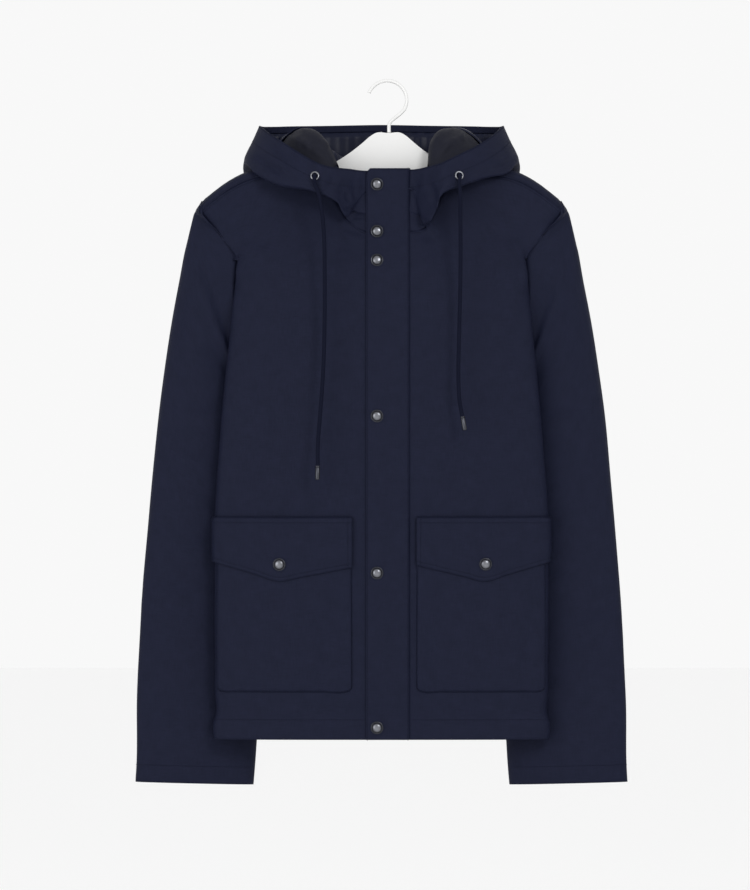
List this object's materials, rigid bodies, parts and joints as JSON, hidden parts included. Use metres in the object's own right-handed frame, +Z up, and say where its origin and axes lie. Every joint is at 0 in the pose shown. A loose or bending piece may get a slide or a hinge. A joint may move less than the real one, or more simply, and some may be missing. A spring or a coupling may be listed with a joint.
{
  "type": "nylon jacket on a hanger",
  "caption": "Hooded nylon jacket on a flat hanger: snap placket, flap pockets, drawcord hood folded down, sleeves hanging beside the body.",
  "frame": {"origin": "inside of the crown of the hanger's hook, where a rail or peg holds it", "axes": "+X to the right of someone facing the jacket's front, +Y from the front to the back, +Z up"},
  "size_m": [0.594, 0.1488, 0.8511],
  "materials": {
    "nylon": "dark navy woven nylon with a low sheen",
    "lining_grey": "matt blue-grey lining",
    "satin": "gathered satin lining",
    "snap_metal": "antique silver, worn on the dome",
    "cord": "braided navy cord",
    "hanger_white": "smooth white"
  },
  "bodies": {
    "root": {"back": "nylon", "front_left": "nylon", "front_right": "nylon", "sleeve_left": "nylon", "sleeve_right": "nylon", "hood_left": "nylon", "hood_right": "nylon", "hood_facing": "nylon", "hood_lining_left": "lining_grey", "hood_lining_right": "lining_grey", "hood_lining_back": "satin", "placket": "nylon", "pocket_left": "nylon", "pocket_right": "nylon", "flap_left": "nylon", "flap_right": "nylon", "flap_snap_left": "snap_metal", "flap_snap_right": "snap_metal", "snap_1": "snap_metal", "snap_2": "snap_metal", "snap_3": "snap_metal", "snap_4": "snap_metal", "snap_5": "snap_metal", "snap_6": "snap_metal", "eyelet_left": "snap_metal", "eyelet_right": "snap_metal", "drawcord_left": "cord", "drawcord_right": "cord", "cord_tip_left": "snap_metal", "cord_tip_right": "snap_metal", "hanger_body": "hanger_white", "hanger_hook": "hanger_white"}
  },
  "joints": []
}
